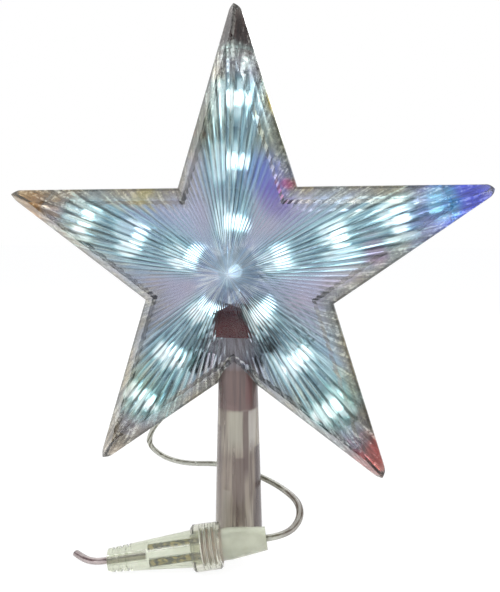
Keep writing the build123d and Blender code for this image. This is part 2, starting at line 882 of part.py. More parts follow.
# Contact sleeves that take the pins
with BuildPart(connector) as socket_contacts:
    with Locations((0, -pin_spread, contact_front), (0, pin_spread, contact_front)):
        Cylinder(contact_radius, contact_end - contact_front, align=on_base)
        Cylinder(
            pin_radius + contact_gap,
            pin_reach + contact_gap,
            align=on_base,
            mode=Mode.SUBTRACT,
        )
socket_contacts.part.label = "socket_contacts"
export_step(socket_contacts.part, "parts/socket_contacts.step")

# Screw collar, held on the loose half by its inner lip
with BuildPart(connector) as screw_collar:
    revolve(
        turned(
            connector_section,
            [
                (-collar_front, thread_core + collar_bore_gap),
                (-collar_front, collar_radius - collar_chamfer),
                (collar_chamfer - collar_front, collar_radius),
                (collar_brow, collar_radius),
                (collar_back, collar_radius - collar_chamfer),
                (collar_back, connector_neck + collar_play),
                (lip_front, connector_neck + collar_play),
                (lip_front, thread_core + collar_bore_gap),
            ],
        ),
        axis=connector_axis,
    )
    add(
        thread(
            thread_start - thread_pitch,
            groove_turns,
            thread_crest + thread_gap,
            thread_root_share * thread_pitch + 2 * thread_gap,
            thread_crest_share * thread_pitch + 2 * thread_gap,
        ),
        mode=Mode.SUBTRACT,
    )
screw_collar.part.label = "screw_collar"
export_step(screw_collar.part, "parts/screw_collar.step")

# Cut tail of cord on the loose half, from inside its body to the blunt end
with BuildPart() as tail_lead:
    add(laid_cord(tail_route, cord_radius))
    with BuildSketch(connector.offset(tail_end)):
        Circle(cord_radius)
    extrude(amount=tail_bore_start - tail_end)
tail_lead.part.label = "tail_lead"
export_step(tail_lead.part, "parts/tail_lead.step")

# Lengths, bends and volumes of the cords
tail_inside = tail_end - tail_bore_start
for cord, route, inside in ((star_lead, lead_route, 0), (tail_lead, tail_route, tail_inside)):
    length = cord_path(route).length + inside
    radii = [round(radius, 1) for radius in route_radii(route)]
    print(cord.part.label, "length", round(length, 1), "bend radii", radii)
    section_volume = pi * cord_radius**2 * length
    print("volume", round(cord.part.volume, 1), "section times length", round(section_volume, 1))
for route in core_routes:
    print("core bend radii", [round(radius, 1) for radius in route_radii(route)])
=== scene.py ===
# %% [markdown]
# # A lit star for the top of a Christmas tree
# The solids of this part come from a CAD model, so their shapes and places are already right. This
# script dresses them: it lays the cords, gives every piece a material, and adds a camera, soft light
# and a white studio. The frame is loaded first.

# %% Frame
import json
import math

import bmesh
import bpy
import numpy as np
from mathutils import Matrix, Vector


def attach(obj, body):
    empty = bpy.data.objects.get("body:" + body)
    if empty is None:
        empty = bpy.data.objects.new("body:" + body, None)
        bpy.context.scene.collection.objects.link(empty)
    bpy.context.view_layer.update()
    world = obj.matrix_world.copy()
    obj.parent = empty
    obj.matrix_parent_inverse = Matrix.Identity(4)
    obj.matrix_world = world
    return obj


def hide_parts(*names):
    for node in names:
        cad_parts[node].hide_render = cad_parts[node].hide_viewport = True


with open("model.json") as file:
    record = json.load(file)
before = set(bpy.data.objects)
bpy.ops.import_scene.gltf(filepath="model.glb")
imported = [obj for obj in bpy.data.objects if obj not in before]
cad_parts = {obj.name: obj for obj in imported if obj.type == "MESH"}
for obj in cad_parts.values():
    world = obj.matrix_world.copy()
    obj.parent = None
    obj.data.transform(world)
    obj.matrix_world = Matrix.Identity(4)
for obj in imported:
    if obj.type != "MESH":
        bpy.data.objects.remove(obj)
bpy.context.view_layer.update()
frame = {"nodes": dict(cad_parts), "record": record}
nodes = frame["nodes"]
MM = 0.001

# %% [markdown]
# ## Camera
# The photograph was taken from close by, a little to the right of the star and a little above its
# middle. A camera can be turned with Euler angles, but a matrix made of its right, up and back
# directions says more plainly where it looks, so that is what is built here.

# %% Camera
STAR_MIDDLE = Vector((0, 0, 132)) * MM
camera_yaw = math.radians(10.4)
camera_pitch = math.radians(7.54)
camera_roll = math.radians(-0.15)
camera_place = Vector((53.42, -259.25, 155.18)) * MM
camera_back = Vector(
    (
        math.sin(camera_yaw) * math.cos(camera_pitch),
        -math.cos(camera_yaw) * math.cos(camera_pitch),
        math.sin(camera_pitch),
    )
)
camera_right = Vector((0, 0, 1)).cross(camera_back).normalized()
camera_axes = Matrix((camera_right, camera_back.cross(camera_right), camera_back)).transposed()

camera = bpy.data.objects.new("camera", bpy.data.cameras.new("camera"))
camera.data.sensor_width = 36
camera.data.lens = 35.15
camera.data.clip_start = 10 * MM
camera_turn = camera_axes.to_4x4() @ Matrix.Rotation(camera_roll, 4, "Z")
camera.matrix_world = Matrix.Translation(camera_place) @ camera_turn
bpy.context.collection.objects.link(camera)
bpy.context.scene.camera = camera
print("camera", [round(v / MM, 1) for v in camera_place], "lens", camera.data.lens)

# %% [markdown]
# ## Studio
# The object is clear plastic, so it shows what lies behind it. The world is plain white for rays
# from the camera, for reflections and for rays that pass through the plastic, and gives a dimmer,
# even light to everything else. The floor does the same, but keeps a part of its own shading so
# that the object's soft shadow stays on it. The kinds of node that come often have short names, here
# for all cells, and so do the settings of a mix of colours and of a range with soft ends.

# %% Studio
MATH = "ShaderNodeMath"
VECTOR = "ShaderNodeVectorMath"
RANGE = "ShaderNodeMapRange"
MIX = "ShaderNodeMix"
NOISE = "ShaderNodeTexNoise"
PLACE = "ShaderNodeTexCoord"
AXES = "ShaderNodeSeparateXYZ"
SKIN = "ShaderNodeBsdfPrincipled"
SURFACE = "ShaderNodeOutputMaterial"
COLOUR = {"out": 2, "data_type": "RGBA"}
SOFT = {"interpolation_type": "SMOOTHSTEP"}


def linear(hex_colour):
    """sRGB hex text to linear red, green, blue and alpha."""
    parts = np.array([int(hex_colour[k : k + 2], 16) for k in (1, 3, 5)]) / 255
    curve = np.where(parts <= 0.04045, parts / 12.92, ((parts + 0.055) / 1.055) ** 2.4)
    return (*curve.tolist(), 1.0)


def node(tree, kind, inputs=(), out=0, **settings):
    """Adds a node, sets it up, links or sets its inputs, and returns one of its outputs."""
    made = tree.nodes.new(kind)
    for name, value in settings.items():
        setattr(made, name, value)
    for key, value in dict(inputs).items():
        if isinstance(value, bpy.types.NodeSocket):
            tree.links.new(value, made.inputs[key])
        else:
            made.inputs[key].default_value = value
    return made.outputs[out] if made.outputs else made


def seen_directly(tree):
    """1 for rays from the camera, in a reflection or through clear plastic, otherwise 0."""
    camera_ray = node(tree, "ShaderNodeLightPath", out="Is Camera Ray")
    glossy_ray = node(tree, "ShaderNodeLightPath", out="Is Glossy Ray")
    clear_ray = node(tree, "ShaderNodeLightPath", out="Is Transmission Ray")
    either = node(tree, MATH, {0: camera_ray, 1: glossy_ray}, operation="MAXIMUM")
    return node(tree, MATH, {0: either, 1: clear_ray}, operation="MAXIMUM")


world = bpy.data.worlds.new("studio")
bpy.context.scene.world = world
world.use_nodes = True
world_tree = world.node_tree
world_tree.nodes.clear()
backdrop = node(world_tree, "ShaderNodeBackground", {"Color": linear("#ffffff"), "Strength": 1.0})
daylight = node(world_tree, "ShaderNodeBackground", {"Color": linear("#f4f6fa"), "Strength": 0.55})
world_mix = node(
    world_tree, "ShaderNodeMixShader", {0: seen_directly(world_tree), 1: daylight, 2: backdrop}
)
node(world_tree, "ShaderNodeOutputWorld", {"Surface": world_mix})

floor_half = 3.0
floor_white_strength = 1.13
floor_white_share = 0.8
floor_mesh = bpy.data.meshes.new("floor")
floor_corners = floor_half * np.array([(-1, -1, 0), (1, -1, 0), (1, 1, 0), (-1, 1, 0)])
floor_mesh.from_pydata(floor_corners.tolist(), [], [(0, 1, 2, 3)])
floor = bpy.data.objects.new("floor", floor_mesh)
bpy.context.collection.objects.link(floor)

floor_paint = bpy.data.materials.new("pale_studio_floor")
floor_paint.use_nodes = True
floor_tree = floor_paint.node_tree
floor_tree.nodes.clear()
floor_shade = node(floor_tree, "ShaderNodeBsdfDiffuse", {"Color": linear("#f2f2f2")})
floor_white = node(
    floor_tree, "ShaderNodeEmission", {"Color": linear("#ffffff"), "Strength": floor_white_strength}
)
floor_seen = seen_directly(floor_tree)
floor_share = node(floor_tree, MATH, {0: floor_seen, 1: floor_white_share}, operation="MULTIPLY")
floor_mix = node(floor_tree, "ShaderNodeMixShader", {0: floor_share, 1: floor_shade, 2: floor_white})
node(floor_tree, SURFACE, {"Surface": floor_mix})
floor_mesh.materials.append(floor_paint)

for name, place, size, power in (
    ("key_softbox", (-420, -520, 620), 420, 3.0),
    ("fill_softbox", (560, -380, 360), 420, 1.5),
    ("back_softbox", (120, 560, 520), 480, 2.0),
):
    softbox = bpy.data.objects.new(name, bpy.data.lights.new(name, "AREA"))
    softbox.data.size = size * MM
    softbox.data.energy = power
    softbox.location = Vector(place) * MM
    softbox.rotation_mode = "QUATERNION"
    softbox.rotation_quaternion = (STAR_MIDDLE - softbox.location).to_track_quat("-Z", "Y")
    bpy.context.collection.objects.link(softbox)
bpy.context.scene.view_settings.view_transform = "Standard"

# %% [markdown]
# ## Cords
# The lead is a clear two-core cord. It leaves the back of the star, folds behind the lower arm, passes
# behind the stem and comes round to the connector, and a short cut tail leaves the other end. A cord's
# line is a smooth spline: its control points are the corners of the route that the CAD model rounds off.
# The section is carried along that spline as a grid of rings, oval because two cores lie side by side.


# %% Cord lines
cord_radius = 1.7 * MM
lead_points = [
    (-25.8, 27.6, 86.0),
    (-25.8, 35.6, 86.0),
    (-27.0, 43.6, 82.5),
    (-30.2, 48.2, 75.8),
    (-35.5, 49.0, 65.5),
    (-43.5, 47.5, 54.5),
    (-53.0, 46.5, 44.0),
    (-61.0, 47.5, 34.5),
    (-64.5, 50.0, 24.5),
    (-57.0, 52.0, 17.0),
    (-46.5, 47.5, 16.3),
    (-34.5, 39.0, 19.5),
    (-18.0, 29.5, 25.0),
    (-3.5, 21.5, 27.0),
    (10.0, 14.0, 26.2),
    (20.8, 6.2, 25.2),
    (29.6, -2.2, 23.0),
    (31.0, -10.9, 19.0),
    (25.37, -18.17, 15.15),
    (16.64, -20.02, 13.98),
]
tail_points = [
    (-35.25, -31.05, 7.06),
    (-43.01, -32.70, 6.02),
    (-51.74, -34.56, 4.86),
    (-56.6, -35.6, 4.3),
    (-61.6, -34.4, 3.4),
    (-66.6, -31.4, 2.6),
    (-71.2, -27.9, 2.0),
]


def cord_line(points):
    """Points, in metres, read along a smooth spline that has the route's points as its controls."""
    curve = bpy.data.curves.new("line", "CURVE")
    curve.dimensions = "3D"
    curve.resolution_u = 12
    spline = curve.splines.new("NURBS")
    spline.points.add(len(points) - 1)
    for control, place in zip(spline.points, points):
        control.co = (*(Vector(place) * MM), 1)
    spline.order_u = 3
    spline.use_endpoint_u = True
    drawn = bpy.data.objects.new("line", curve)
    bpy.context.collection.objects.link(drawn)
    mesh = bpy.data.meshes.new_from_object(drawn)
    line = np.empty(3 * len(mesh.vertices))
    mesh.vertices.foreach_get("co", line)
    bpy.data.objects.remove(drawn)
    return line.reshape(-1, 3)


def line_steps(line):
    """The distance from each point of a line to the next."""
    return np.linalg.norm(np.diff(line, axis=0), axis=1)


lead_line = cord_line(lead_points)
tail_line = cord_line(tail_points)
for name, line in (("lead", lead_line), ("tail", tail_line)):
    print(name, "line", len(line), "points, length", round(line_steps(line).sum() / MM, 1), "mm")

# %% [markdown]
# A tube needs a section at every point of its line. Each ring lies in the plane across the cord: one
# direction of it is level, the other is square to that and to the cord. The section is a waisted
# oval, because the cord is two sheathed cores moulded side by side. The grid carries a UV map, with
# millimetres along the cord in U and the turn round it in V, for the finish to follow.


# %% Cord tubes
def grid_mesh(name, grid, uv):
    """A closed tube from a grid of rings: its columns wrap round, and its ends are poles."""
    rows, columns = grid.shape[:2]
    row, column = np.mgrid[0 : rows - 1, 0:columns]
    across = (column + 1) % columns
    here, ahead = row * columns, (row + 1) * columns
    faces = np.stack((here + column, here + across, ahead + across, ahead + column), axis=-1).reshape(-1, 4)
    mesh = bpy.data.meshes.new(name)
    mesh.from_pydata(grid.reshape(-1, 3).tolist(), [], faces.tolist())
    corner_row = np.stack((row, row, row + 1, row + 1), axis=-1)
    corner_column = np.stack((column, column + 1, column + 1, column), axis=-1)
    corners = np.stack((uv[0][corner_row], uv[1][corner_column]), axis=-1)
    mesh.uv_layers.new(name="along_and_round").data.foreach_set("uv", corners.ravel())
    shape = bmesh.new()
    shape.from_mesh(mesh)
    bmesh.ops.remove_doubles(shape, verts=shape.verts, dist=0.001 * MM)
    bmesh.ops.recalc_face_normals(shape, faces=shape.faces)
    shape.to_mesh(mesh)
    shape.free()
    mesh.polygons.foreach_set("use_smooth", np.ones(len(mesh.polygons), dtype=bool))
    made = bpy.data.objects.new(name, mesh)
    bpy.context.collection.objects.link(made)
    return made


ring_sides = 24
waist_depth = 0.17
flank_depth = 0.05


def cord_tube(name, line, radius):
    """The waisted oval of a two-core cord, carried along a line.

    The oval's radius loses a share of itself with the squared sine of the turn, which gives the waist, and
    a smaller share with the squared sine of twice the turn, which gives the flanks.
    """
    step = np.gradient(line, axis=0)
    heading = step / np.linalg.norm(step, axis=1, keepdims=True)
    level = np.cross(heading, (0, 0, 1))
    level /= np.linalg.norm(level, axis=1, keepdims=True)
    square = np.cross(level, heading)
    turn = np.linspace(0, 2 * np.pi, ring_sides, endpoint=False)
    waist = 1 - waist_depth * np.sin(turn) ** 2 - flank_depth * np.sin(2 * turn) ** 2
    ring = radius * waist * np.array((np.cos(turn), np.sin(turn)))
    grid = line[:, None] + level[:, None] * ring[0][:, None] + square[:, None] * ring[1][:, None]
    first = np.broadcast_to(line[0], (1, ring_sides, 3))
    last = np.broadcast_to(line[-1], (1, ring_sides, 3))
    grid = np.concatenate((first, grid, last))
    run = np.concatenate(([0], np.cumsum(line_steps(line)))) / MM
    run = np.concatenate((run[:1], run, run[-1:]))
    return grid_mesh(name, grid, (run, np.linspace(0, 1, ring_sides + 1)))


lead_cord = cord_tube("lead_cord", lead_line, cord_radius)
tail_cord = cord_tube("tail_cord", tail_line, cord_radius)
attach(lead_cord, "star")
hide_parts("star_lead")
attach(tail_cord, "tail")
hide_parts("tail_lead")
print("cords", len(lead_cord.data.polygons), "and", len(tail_cord.data.polygons), "faces")

# %% [markdown]
# ## Clear shells
# Both halves of the star are moulded in clear polystyrene, with V grooves that fan out from the
# middle. Light of the lamps inside breaks up in the grooves: it shows as white patches with cyan
# edges along the arms, cut by thin dark lines, while the plastic between the arms stays a smooth
# grey violet. Those patches, the dark lines and the room's colours in the plastic are painted: light
# and glints as the shells' own glow and colour, shade and reflections as their colour. The finish is
# worked out in the star's own terms, which are the angle round its middle and, in millimetres, the
# distances along and across the nearest arm.

# %% Star signals
star_radius = 121.0
half_sector = math.radians(36)
half_tip = math.radians(18)


def new_finish(name):
    """An empty material with its node tree."""
    material = bpy.data.materials.new(name)
    material.use_nodes = True
    material.node_tree.nodes.clear()
    return material, material.node_tree


def star_signals(tree):
    """Where a point lies on the star, in millimetres from its middle, with its depth left out.

    The angle is wrapped into one of five sectors, each with an arm as its line. The place along that arm is
    the reach times the cosine of the wrapped angle.
    """
    place = node(tree, PLACE, out="Object")
    from_middle = node(tree, VECTOR, {0: place, 1: STAR_MIDDLE}, operation="SUBTRACT")
    flat = node(tree, VECTOR, {0: from_middle, 1: (1 / MM, 0, 1 / MM)}, operation="MULTIPLY")
    side = node(tree, AXES, {0: flat}, out="X")
    rise = node(tree, AXES, {0: flat}, out="Z")
    angle = node(tree, MATH, {0: side, 1: rise}, operation="ARCTAN2")
    reach = node(tree, VECTOR, {0: flat}, out="Value", operation="LENGTH")
    off = node(tree, MATH, {0: angle, 1: half_sector, 2: -half_sector}, operation="WRAP")
    off_cosine = node(tree, MATH, {0: off}, operation="COSINE")
    along = node(tree, MATH, {0: reach, 1: off_cosine}, operation="MULTIPLY")
    return place, flat, rise, angle, reach, off, along


shell_plastic, tree = new_finish("clear_ribbed_polystyrene")
place, flat, rise, angle, reach, off, along = star_signals(tree)
off_sine = node(tree, MATH, {0: off}, operation="SINE")
across_signed = node(tree, MATH, {0: reach, 1: off_sine}, operation="MULTIPLY")
across = node(tree, MATH, {0: across_signed}, operation="ABSOLUTE")
tip_run = node(tree, MATH, {0: star_radius, 1: along}, operation="SUBTRACT")
tip_part = node(tree, MATH, {0: tip_run, 1: math.sin(half_tip)}, operation="MULTIPLY")
across_part = node(tree, MATH, {0: across, 1: math.cos(half_tip)}, operation="MULTIPLY")
edge = node(tree, MATH, {0: tip_part, 1: across_part}, operation="SUBTRACT")
print("star signals", len(tree.nodes), "nodes")

# %% [markdown]
# A shell has an outer and an inner face, and only the outer one carries the ribs. On the outer face
# the surface normal and the place point to the same side of the joint, so the product of their Y parts
# is above zero there. A ray inside the plastic meets a face from behind, where Blender turns the normal
# round, so the Backfacing output turns it back. The inner face stays clear.

# %% Outer face and ribs
ribs_round = 120
depth = node(tree, AXES, {0: place}, out="Y")
facing_vector = node(tree, "ShaderNodeNewGeometry", out="True Normal")
facing_local = node(
    tree,
    "ShaderNodeVectorTransform",
    {0: facing_vector},
    vector_type="NORMAL",
    convert_from="WORLD",
    convert_to="OBJECT",
)
facing = node(tree, AXES, {0: facing_local}, out="Y")
behind = node(tree, "ShaderNodeNewGeometry", out="Backfacing")
before = node(tree, MATH, {0: 1.0, 1: behind}, operation="SUBTRACT")
turned_back = node(tree, MATH, {0: behind, 1: -2.0, 2: 1.0}, operation="MULTIPLY_ADD")
facing_true = node(tree, MATH, {0: facing, 1: turned_back}, operation="MULTIPLY")
outward = node(tree, MATH, {0: facing_true, 1: depth}, operation="MULTIPLY")
outer = node(tree, MATH, {0: outward, 1: 0.0}, operation="GREATER_THAN")
rib_turn = node(tree, MATH, {0: angle, 1: ribs_round}, operation="MULTIPLY")
rib = node(tree, MATH, {0: rib_turn}, operation="COSINE")
rib_count = node(tree, MATH, {0: angle, 1: ribs_round / (2 * math.pi), 2: 0.5}, operation="MULTIPLY_ADD")
rib_number = node(tree, MATH, {0: rib_count}, operation="FLOOR")
rib_chance = node(tree, "ShaderNodeTexWhiteNoise", {"W": rib_number}, noise_dimensions="1D")
groove = node(tree, RANGE, {0: rib, 1: 0.1, 2: -0.8}, **SOFT)
print("ribs", len(tree.nodes), "nodes")

# %% [markdown]
# Light that travels in the ribs makes rays: long streaks that fan out with the ribs. Noise over the angle
# and the reach gives them: once in broad streaks, once in fine ones about a third of a rib wide, and once
# in wide ones for the middle, where the fine ones run too close together to be seen.


# %% Rays
def fanned_noise(turns, run, layer, detail):
    """Noise that changes turns times in a radian round the star, and once in run millimetres outwards."""
    turned = node(tree, MATH, {0: angle, 1: turns}, operation="MULTIPLY")
    drawn_out = node(tree, MATH, {0: reach, 1: 1 / run}, operation="MULTIPLY")
    fanned = node(tree, "ShaderNodeCombineXYZ", {"X": turned, "Y": drawn_out, "Z": layer})
    return node(tree, NOISE, {"Vector": fanned, "Scale": 1.0, "Detail": detail})


streak = fanned_noise(turns=26.0, run=18.0, layer=0.0, detail=3.0)
ray = fanned_noise(turns=60.0, run=34.0, layer=7.0, detail=2.0)
middle_ray = fanned_noise(turns=9.0, run=14.0, layer=3.0, detail=3.0)
ray_pale = node(tree, RANGE, {0: ray, 1: 0.38, 2: 0.64}, **SOFT)
ray_fine = node(tree, RANGE, {0: ray, 1: 0.55, 2: 0.7}, **SOFT)
groove_chance = node(tree, RANGE, {0: streak, 1: 0.34, 2: 0.56, 3: 0.15, 4: 1.0})
# painted shade: dark lines in the grooves
groove_shade_line = node(tree, MATH, {0: groove, 1: groove_chance}, operation="MULTIPLY")
print("rays", len(tree.nodes), "nodes")

# %% [markdown]
# The patches of light sit over the lamps. The distance to the nearest lamp, wrapped along the arm, gives
# each patch its length, and every rib moves that by chance, so that the ends are stepped. The width grows
# from the middle outwards, up to a limit, and the light in one rib is stronger than in the next. In the
# middle the wide rays make a small burst, and between the patches single rays carry light on. The light
# leaves the plastic at the outer face alone, and the dark lines of the grooves cut it.


# %% Light over the lamps
lamp_first, lamp_step = 22.0, 25.6
lamp_glow = 0.68


def within_arm(narrow, wide, gone, full):
    """1 near the arm's line and 0 past a half width, which grows from narrow to wide along the arm."""
    half_width = node(tree, RANGE, {0: along, 1: 8.0, 2: 46.0, 3: narrow, 4: wide})
    share = node(tree, MATH, {0: across, 1: half_width}, operation="DIVIDE")
    return node(tree, RANGE, {0: share, 1: gone, 2: full}, **SOFT)


lamp_run = node(tree, MATH, {0: along, 1: lamp_first}, operation="SUBTRACT")
lamp_wrapped = node(tree, MATH, {0: lamp_run, 1: lamp_step / 2, 2: -lamp_step / 2}, operation="WRAP")
lamp_away = node(tree, MATH, {0: lamp_wrapped}, operation="ABSOLUTE")
lamp_stepped = node(tree, MATH, {0: rib_chance, 1: 8.0, 2: lamp_away}, operation="MULTIPLY_ADD")
lamp_ragged = node(tree, MATH, {0: ray, 1: 9.0, 2: lamp_stepped}, operation="MULTIPLY_ADD")
patch_length = node(tree, RANGE, {0: lamp_ragged, 1: 16.0, 2: 11.5}, **SOFT)
patch_width = within_arm(narrow=4.5, wide=10.5, gone=1.1, full=0.6)
arm_end = node(tree, RANGE, {0: along, 1: 88.0, 2: 80.0}, **SOFT)
arm_start = node(tree, RANGE, {0: along, 1: 0.0, 2: 11.0}, **SOFT)
patch_inside = node(tree, MATH, {0: patch_length, 1: patch_width}, operation="MULTIPLY")
patch_clear = node(tree, MATH, {0: patch_inside, 1: arm_end}, operation="MULTIPLY")
rib_power = node(tree, RANGE, {0: rib_chance, 1: 0.0, 2: 1.0, 3: 0.55, 4: 1.25})
patch_power = node(tree, MATH, {0: patch_clear, 1: rib_power}, operation="MULTIPLY", use_clamp=True)
heart_away = node(tree, VECTOR, {0: flat, 1: (1.6, 0, 3.6)}, out="Value", operation="DISTANCE")
heart_ragged = node(tree, MATH, {0: middle_ray, 1: 44.0, 2: heart_away}, operation="MULTIPLY_ADD")
heart = node(tree, RANGE, {0: heart_ragged, 1: 30.0, 2: 24.0, 3: 0.0, 4: 0.5}, **SOFT)
patch = node(tree, MATH, {0: patch_power, 1: heart}, operation="MAXIMUM")
band_width = within_arm(narrow=6.0, wide=15.0, gone=1.25, full=0.5)
band_run = node(tree, MATH, {0: arm_end, 1: arm_start}, operation="MULTIPLY")
band = node(tree, MATH, {0: band_width, 1: band_run}, operation="MULTIPLY")
carried = node(tree, MATH, {0: ray_fine, 1: 0.32}, operation="MULTIPLY")
carried_band = node(tree, MATH, {0: carried, 1: band}, operation="MULTIPLY")
light = node(tree, MATH, {0: patch, 1: carried_band}, operation="MAXIMUM")
line_gap = node(tree, MATH, {0: groove_shade_line, 1: -0.85, 2: 1.0}, operation="MULTIPLY_ADD")
light_lined = node(tree, MATH, {0: light, 1: line_gap}, operation="MULTIPLY")
light_outer = node(tree, MATH, {0: light_lined, 1: outer}, operation="MULTIPLY")
light_leaving = node(tree, MATH, {0: light_outer, 1: before}, operation="MULTIPLY")
# painted light: the shell itself glows over the lamps, standing for their light in the ribs
glow = node(tree, MATH, {0: light_leaving, 1: lamp_glow}, operation="MULTIPLY")
glow_tint = node(tree, MIX, {0: light, 6: linear("#74c8cc"), 7: linear("#fbffff")}, **COLOUR)
print("lamp light", len(tree.nodes), "nodes")

# %% [markdown]
# The plastic has a tint of its own, blue grey to violet grey, which slow noise varies. Along the arms the
# lamps' light in the ribs is painted into it as teal and pale streaks.

# %% Shell tint
haze_size = 30.0
haze = node(tree, NOISE, {"Vector": flat, "Scale": 1 / haze_size, "Detail": 2.0})
haze_share = node(tree, RANGE, {0: haze, 1: 0.38, 2: 0.62})
field = node(tree, MIX, {0: haze_share, 6: linear("#9aa9c4"), 7: linear("#b8b0c2")}, **COLOUR)
# painted light: teal and pale streaks where the lamps' light runs along the arms
painted_ray_light = node(tree, MIX, {0: ray_pale, 6: linear("#7aa6b8"), 7: linear("#c2e2e6")}, **COLOUR)
lit_band_tint = node(tree, MIX, {0: band, 6: field, 7: painted_ray_light}, **COLOUR)
print("shell tint", len(tree.nodes), "nodes")

# %% [markdown]
# Colours of the room are painted into the plastic as soft spots of reflection, and the dark pieces
# inside as small spots of painted shadow; one near-white spot keeps the shell clear over the plug. Each
# is placed by its millimetres right of and above the star's middle, and has a radius, a share and a
# colour. Broad streaks make its outline ragged. Below the middle, single rays are painted dark as shade
# and pale as light, and in the middle the wide rays go from blue violet to white, a painted light of
# the middle lamp.


# %% Spots
def spotted(tint, spots):
    """The tint with each spot mixed in: full within two thirds of its radius, gone at one and a third."""
    for spot_side, spot_rise, spot_radius, spot_share, spot_hex in spots:
        spot_place = (spot_side, 0, spot_rise)
        away = node(tree, VECTOR, {0: flat, 1: spot_place}, out="Value", operation="DISTANCE")
        ragged = node(tree, MATH, {0: streak, 1: 0.5 * spot_radius, 2: away}, operation="MULTIPLY_ADD")
        ends = {0: ragged, 1: 1.35 * spot_radius, 2: 0.65 * spot_radius, 3: 0.0, 4: spot_share}
        spot = node(tree, RANGE, ends, **SOFT)
        tint = node(tree, MIX, {0: spot, 6: tint, 7: linear(spot_hex)}, **COLOUR)
    return tint


# painted shade and painted light: dark and pale single rays below the middle
low_place = node(tree, RANGE, {0: rise, 1: -8.0, 2: -22.0}, **SOFT)
low_reach = node(tree, RANGE, {0: reach, 1: 64.0, 2: 46.0}, **SOFT)
low_zone = node(tree, MATH, {0: low_place, 1: low_reach}, operation="MULTIPLY")
low_dark = node(tree, RANGE, {0: ray_pale, 1: 0.45, 2: 0.0, 3: 0.0, 4: 0.5})
low_shade = node(tree, MATH, {0: low_zone, 1: low_dark}, operation="MULTIPLY")
low_shaded = node(tree, MIX, {0: low_shade, 6: lit_band_tint, 7: linear("#14242a")}, **COLOUR)
low_light = node(tree, MATH, {0: low_zone, 1: ray_fine}, operation="MULTIPLY")
low_tint = node(tree, MIX, {0: low_light, 6: low_shaded, 7: linear("#e6f1f4")}, **COLOUR)
# painted light: the middle lamp's light spread in the wide rays
middle_share = node(tree, RANGE, {0: middle_ray, 1: 0.42, 2: 0.6}, **SOFT)
middle_light_hue = node(tree, MIX, {0: middle_share, 6: linear("#98a4d0"), 7: linear("#fafdff")}, **COLOUR)
middle_zone = node(tree, RANGE, {0: reach, 1: 19.0, 2: 12.0, 3: 0.0, 4: 0.8}, **SOFT)
middle_tint = node(tree, MIX, {0: middle_zone, 6: low_tint, 7: middle_light_hue}, **COLOUR)
# painted reflections of the room's colours, and painted shadows of the dark pieces inside
reflected_and_shaded_tint = spotted(
    middle_tint,
    (
        (46, -60, 14, 0.45, "#6fb49c"),
        (-43, -58, 15, 0.4, "#7fc0a8"),
        (17, 43, 14, 0.75, "#5f6cc8"),
        (19, 32, 10, 0.65, "#7866b4"),
        (-44, 22, 9, 0.5, "#7a72b0"),
        (0, -30, 13, 0.97, "#f2f0f4"),
        (-18, -38.8, 5, 0.9, "#101f22"),
        (12.2, -38.8, 4, 0.85, "#141f24"),
        (18, -32, 4, 0.85, "#18252a"),
        (41, -9, 2.5, 0.7, "#332f3c"),
        (43, -17, 2.5, 0.7, "#332f3c"),
    ),
)
print("spots", len(tree.nodes), "nodes")

# %% [markdown]
# The sloped border is a mosaic of small painted glints. Voronoi cells and the rays together choose
# between a dark and a pale tone, and slow noise turns both from cool grey to gold. The cells are drawn
# about twice as coarse as the real glints, so that they still show in the render. The border's inner
# edge is stepped by the ribs. The solid tips have spots of painted reflection of the room's colours,
# painted shade and painted gold glints, which come on top of the border.

# %% Border and tips
glint_size = 1.1
hue_size = 15.0
facet = node(tree, "ShaderNodeTexVoronoi", {"Vector": flat, "Scale": 1 / glint_size}, out="Color")
facet_chance = node(tree, "ShaderNodeSeparateColor", {0: facet}, out="Red")
facet_ray = node(tree, MIX, {0: 0.5, 2: facet_chance, 3: ray_pale})
hue = node(tree, NOISE, {"Vector": flat, "Scale": 1 / hue_size, "Detail": 1.0})
hue_share = node(tree, RANGE, {0: hue, 1: 0.45, 2: 0.65})
glint_dark = node(tree, MIX, {0: hue_share, 6: linear("#484c42"), 7: linear("#5a4820")}, **COLOUR)
glint_pale = node(tree, MIX, {0: hue_share, 6: linear("#c8cbbe"), 7: linear("#d8c892")}, **COLOUR)
glint = node(tree, MIX, {0: facet_ray, 6: glint_dark, 7: glint_pale}, **COLOUR)
edge_stepped = node(tree, MATH, {0: rib_chance, 1: 5.0, 2: edge}, operation="MULTIPLY_ADD")
edge_ragged = node(tree, MATH, {0: streak, 1: 6.0, 2: edge_stepped}, operation="MULTIPLY_ADD")
border = node(tree, RANGE, {0: edge_ragged, 1: 15.5, 2: 6.5, 3: 0.0, 4: 0.8}, **SOFT)
edge_tint = node(tree, MIX, {0: border, 6: reflected_and_shaded_tint, 7: glint}, **COLOUR)
